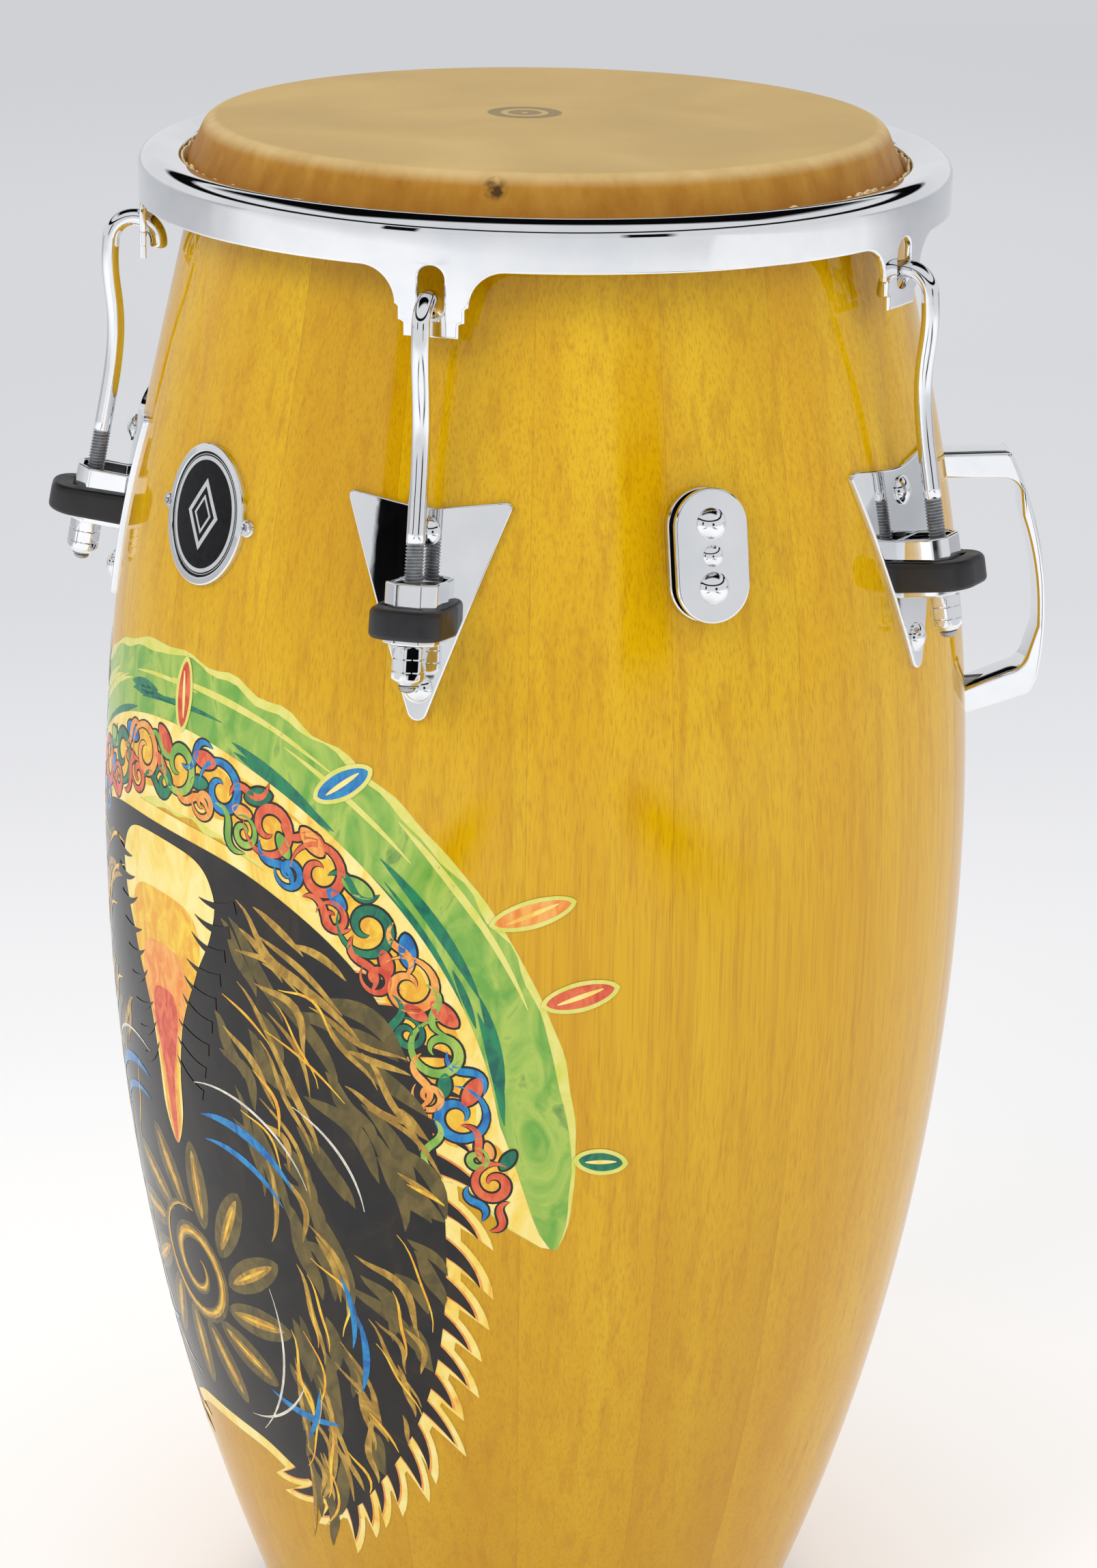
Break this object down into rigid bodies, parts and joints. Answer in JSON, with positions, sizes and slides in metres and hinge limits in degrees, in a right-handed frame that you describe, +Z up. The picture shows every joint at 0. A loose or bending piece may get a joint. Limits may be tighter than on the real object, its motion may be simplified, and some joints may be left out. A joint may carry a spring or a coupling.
{
  "type": "conga drum",
  "caption": "Tall stave-built hand drum with a rawhide head held by a curved rim, tuning hooks, a side handle and a stand mount.",
  "frame": {"origin": "centre of the foot ring on the floor, on the drum's axis", "axes": "+Z up the drum's axis, +X towards the carrying handle, -Y towards the side between the badge and the stand mount"},
  "size_m": [0.4687, 0.438, 0.764],
  "materials": {
    "stave_wood": "amber stain under high gloss lacquer, with painted artwork on the front",
    "foot_rubber": "matte black moulded rubber",
    "rawhide": "natural rawhide, dry, lightly mottled",
    "chrome": "polished chrome plate",
    "zinc_steel": "zinc plated steel",
    "protector_rubber": "satin black rubber",
    "spacer_plastic": "black nylon",
    "badge_enamel": "black and grey enamel with a plain ring design"
  },
  "bodies": {
    "shell": {"staves": "stave_wood", "base_ring": "foot_rubber", "head_skin": "rawhide", "side_plate_1": "chrome", "side_plate_2": "chrome", "side_plate_3": "chrome", "side_plate_4": "chrome", "side_plate_5": "chrome", "lug_bracket_1": "chrome", "lug_bracket_2": "chrome", "lug_bracket_3": "chrome", "lug_bracket_4": "chrome", "lug_bracket_5": "chrome", "shell_protector_1": "protector_rubber", "shell_protector_2": "protector_rubber", "shell_protector_3": "protector_rubber", "shell_protector_4": "protector_rubber", "shell_protector_5": "protector_rubber", "side_plate_bolts": "chrome", "side_plate_washers": "zinc_steel", "side_plate_nuts": "zinc_steel", "handle": "chrome", "handle_screws": "zinc_steel", "handle_washers": "zinc_steel", "mount_back_plate": "chrome", "mount_spacer": "spacer_plastic", "mount_front_plate": "chrome", "mount_rivet": "chrome", "mount_bolts": "chrome", "mount_washers": "zinc_steel", "mount_nuts": "zinc_steel", "badge_plate": "chrome", "badge_inlay": "badge_enamel", "badge_screws": "chrome"},
    "crown": {"crown": "chrome", "flesh_hoop": "zinc_steel", "skin_tuck": "rawhide"},
    "hook_1": {"tuning_hook_1": "chrome"},
    "hook_2": {"tuning_hook_2": "chrome"},
    "hook_3": {"tuning_hook_3": "chrome"},
    "hook_4": {"tuning_hook_4": "chrome"},
    "hook_5": {"tuning_hook_5": "chrome"},
    "nut_1": {"lug_nut_1": "chrome"},
    "nut_2": {"lug_nut_2": "chrome"},
    "nut_3": {"lug_nut_3": "chrome"},
    "nut_4": {"lug_nut_4": "chrome"},
    "nut_5": {"lug_nut_5": "chrome"}
  },
  "joints": [
    {"name": "nut_1_turn", "type": "hinge", "parent": "shell", "child": "nut_1", "pos_m": [-0.2058, 0, 0.60324], "axis": [0.1908, 0, 0.9816], "range_deg": [-1080, 1440]},
    {"name": "nut_2_turn", "type": "hinge", "parent": "shell", "child": "nut_2", "pos_m": [-0.0636, -0.19573, 0.60324], "axis": [0.059, 0.1815, 0.9816], "range_deg": [-1080, 1440]},
    {"name": "nut_3_turn", "type": "hinge", "parent": "shell", "child": "nut_3", "pos_m": [0.1665, -0.12097, 0.60324], "axis": [-0.1544, 0.1122, 0.9816], "range_deg": [-1080, 1440]},
    {"name": "nut_4_turn", "type": "hinge", "parent": "shell", "child": "nut_4", "pos_m": [0.1665, 0.12097, 0.60324], "axis": [-0.1544, -0.1122, 0.9816], "range_deg": [-1080, 1440]},
    {"name": "nut_5_turn", "type": "hinge", "parent": "shell", "child": "nut_5", "pos_m": [-0.0636, 0.19573, 0.60324], "axis": [0.059, -0.1815, 0.9816], "range_deg": [-1080, 1440]},
    {"name": "crown_slide", "type": "slide", "parent": "shell", "child": "crown", "axis": [0, 0, -1], "range_m": [-0.0041, 0.0055]},
    {"name": "hook_1_slide", "type": "slide", "parent": "shell", "child": "hook_1", "axis": [-0.1908, 0, -0.9816], "range_m": [-0.0043, 0.0057]},
    {"name": "hook_2_slide", "type": "slide", "parent": "shell", "child": "hook_2", "axis": [-0.059, -0.1815, -0.9816], "range_m": [-0.0043, 0.0057]},
    {"name": "hook_3_slide", "type": "slide", "parent": "shell", "child": "hook_3", "axis": [0.1544, -0.1122, -0.9816], "range_m": [-0.0043, 0.0057]},
    {"name": "hook_4_slide", "type": "slide", "parent": "shell", "child": "hook_4", "axis": [0.1544, 0.1122, -0.9816], "range_m": [-0.0043, 0.0057]},
    {"name": "hook_5_slide", "type": "slide", "parent": "shell", "child": "hook_5", "axis": [-0.059, 0.1815, -0.9816], "range_m": [-0.0043, 0.0057]}
  ],
  "couplings": [
    {"joint": "nut_1_turn", "follows": "crown_slide", "rad_per_m": 4536.3},
    {"joint": "nut_2_turn", "follows": "crown_slide", "rad_per_m": 4536.3},
    {"joint": "nut_3_turn", "follows": "crown_slide", "rad_per_m": 4536.3},
    {"joint": "nut_4_turn", "follows": "crown_slide", "rad_per_m": 4536.3},
    {"joint": "nut_5_turn", "follows": "crown_slide", "rad_per_m": 4536.3},
    {"joint": "hook_1_slide", "follows": "crown_slide", "ratio": 1.0187},
    {"joint": "hook_2_slide", "follows": "crown_slide", "ratio": 1.0187},
    {"joint": "hook_3_slide", "follows": "crown_slide", "ratio": 1.0187},
    {"joint": "hook_4_slide", "follows": "crown_slide", "ratio": 1.0187},
    {"joint": "hook_5_slide", "follows": "crown_slide", "ratio": 1.0187}
  ]
}
